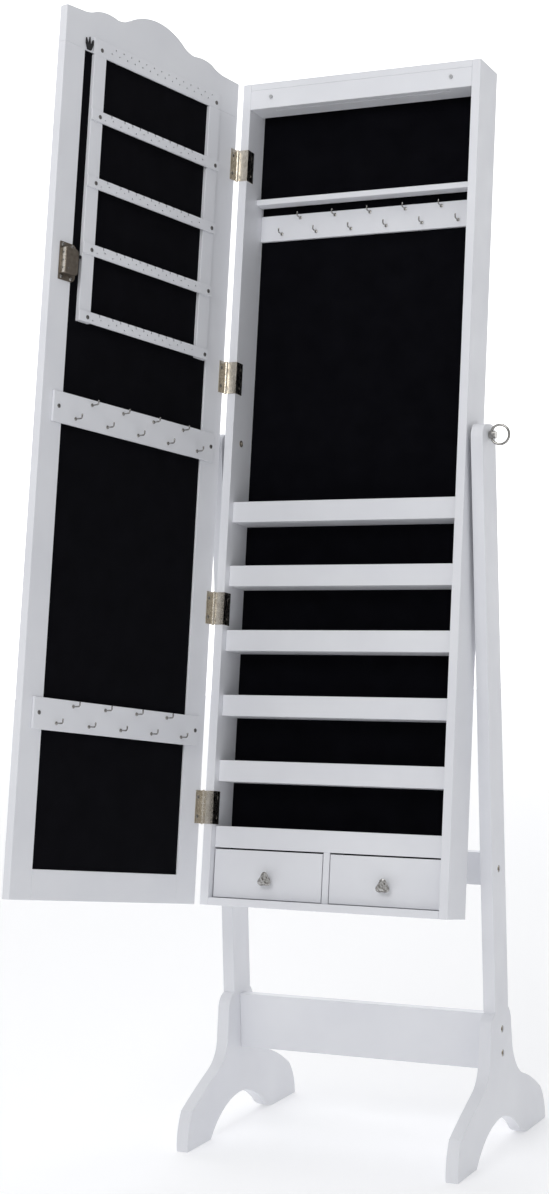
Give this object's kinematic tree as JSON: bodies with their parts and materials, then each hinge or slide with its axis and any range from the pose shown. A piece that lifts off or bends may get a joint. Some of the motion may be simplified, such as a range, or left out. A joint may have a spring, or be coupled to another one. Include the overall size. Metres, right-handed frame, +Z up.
{
  "type": "jewelry armoire",
  "caption": "Tilting jewelry cabinet on a two-footed cheval stand, with a mirrored lockable door on the left, shelves, drawers, and hook and earring rails",
  "frame": {"origin": "on the floor, straight under the pivot axis, midway between the two uprights", "axes": "+Z up, +X to the right seen from the front, -Y towards the front, where the door opens"},
  "size_m": [0.4849, 0.6221, 1.4713],
  "materials": {
    "painted_board": "satin white lacquer on fibreboard",
    "hardboard": "white faced hardboard",
    "black_felt": "flocked, matte black",
    "lined_tray": "fibreboard wrapped in black flock",
    "mirror": "float glass, silvered",
    "bright_steel": "bright nickel plate",
    "nickel_plate": "warm nickel plate",
    "pewter_metal": "zinc alloy, dark pewter plate",
    "lock_brass": "turned",
    "clear_plastic": "moulded",
    "soft_pad": "clear soft pad",
    "black_plastic": "moulded",
    "cut_glass": "faceted, clear"
  },
  "bodies": {
    "stand": {"left_upright": "painted_board", "right_upright": "painted_board", "lower_crossbar": "painted_board", "upper_stretcher": "painted_board", "stand_bolts": "nickel_plate", "pivot_spacers": "clear_plastic"},
    "left_knob": {"left_ring_knob": "bright_steel"},
    "right_knob": {"right_ring_knob": "bright_steel"},
    "cabinet": {"left_side_panel": "painted_board", "right_side_panel": "painted_board", "top_panel": "painted_board", "bottom_panel": "painted_board", "top_rail": "painted_board", "back_panel": "hardboard", "back_felt": "black_felt", "upper_felt_board": "black_felt", "narrow_shelf": "painted_board", "necklace_rail": "painted_board", "shelf_1": "painted_board", "shelf_2": "painted_board", "shelf_3": "painted_board", "shelf_4": "painted_board", "shelf_5": "painted_board", "drawer_deck": "painted_board", "shelf_lips": "painted_board", "drawer_divider": "painted_board", "bumper_pads": "soft_pad", "pivot_inserts": "nickel_plate", "necklace_hooks": "bright_steel", "hinge_cabinet_screws": "nickel_plate", "hinge_cabinet_leaves": "nickel_plate", "hinge_pins": "nickel_plate"},
    "left_drawer": {"drawer_front_left": "painted_board", "drawer_tray_left": "lined_tray", "drawer_knob_left": "cut_glass"},
    "right_drawer": {"drawer_front_right": "painted_board", "drawer_tray_right": "lined_tray", "drawer_knob_right": "cut_glass"},
    "door": {"hinge_stile": "painted_board", "lock_stile": "painted_board", "bottom_rail": "painted_board", "crest_rail": "painted_board", "mirror_glass": "mirror", "door_felt": "black_felt", "rack_strip_near": "painted_board", "rack_strip_far": "painted_board", "earring_rail_1": "painted_board", "earring_rail_2": "painted_board", "earring_rail_3": "painted_board", "earring_rail_4": "painted_board", "earring_rail_5": "painted_board", "hook_rail_upper": "painted_board", "hook_rail_lower": "painted_board", "door_hooks": "bright_steel", "door_screws": "nickel_plate", "hinge_door_leaves": "nickel_plate", "lock_case": "pewter_metal", "band_hook": "black_plastic"},
    "sliding_bolt": {"lock_bolt": "nickel_plate"},
    "key_plug": {"lock_plug": "lock_brass"}
  },
  "joints": [
    {"name": "cabinet_tilt", "type": "hinge", "parent": "stand", "child": "cabinet", "pos_m": [0, 0, 0.916], "axis": [-1, 0, 0], "range_deg": [-4.5, 15]},
    {"name": "door_swing", "type": "hinge", "parent": "cabinet", "child": "door", "pos_m": [-0.1753, -0.02592, 0.92043], "axis": [0, -0.1685, -0.9857], "range_deg": [-102.2, 0]},
    {"name": "left_drawer_slide", "type": "slide", "parent": "cabinet", "child": "left_drawer", "axis": [0, -0.9857, 0.1685], "range_m": [0, 0.03]},
    {"name": "right_drawer_slide", "type": "slide", "parent": "cabinet", "child": "right_drawer", "axis": [0, -0.9857, 0.1685], "range_m": [0, 0.03]},
    {"name": "left_knob_turn", "type": "hinge", "parent": "stand", "child": "left_knob", "pos_m": [0, 0, 0.916], "axis": [-1, 0, 0], "continuous": true},
    {"name": "right_knob_turn", "type": "hinge", "parent": "stand", "child": "right_knob", "pos_m": [0, 0, 0.916], "axis": [1, 0, 0], "continuous": true},
    {"name": "key_turn", "type": "hinge", "parent": "door", "child": "key_plug", "pos_m": [-0.25064, -0.30352, 1.13984], "axis": [-0.9774, 0.2083, -0.0356], "range_deg": [0, 90]},
    {"name": "bolt_slide", "type": "slide", "parent": "door", "child": "sliding_bolt", "axis": [-0.2113, -0.9634, 0.1647], "range_m": [0, 0.009]}
  ],
  "couplings": [
    {"joint": "key_turn", "follows": "bolt_slide", "rad_per_m": 174.53}
  ]
}
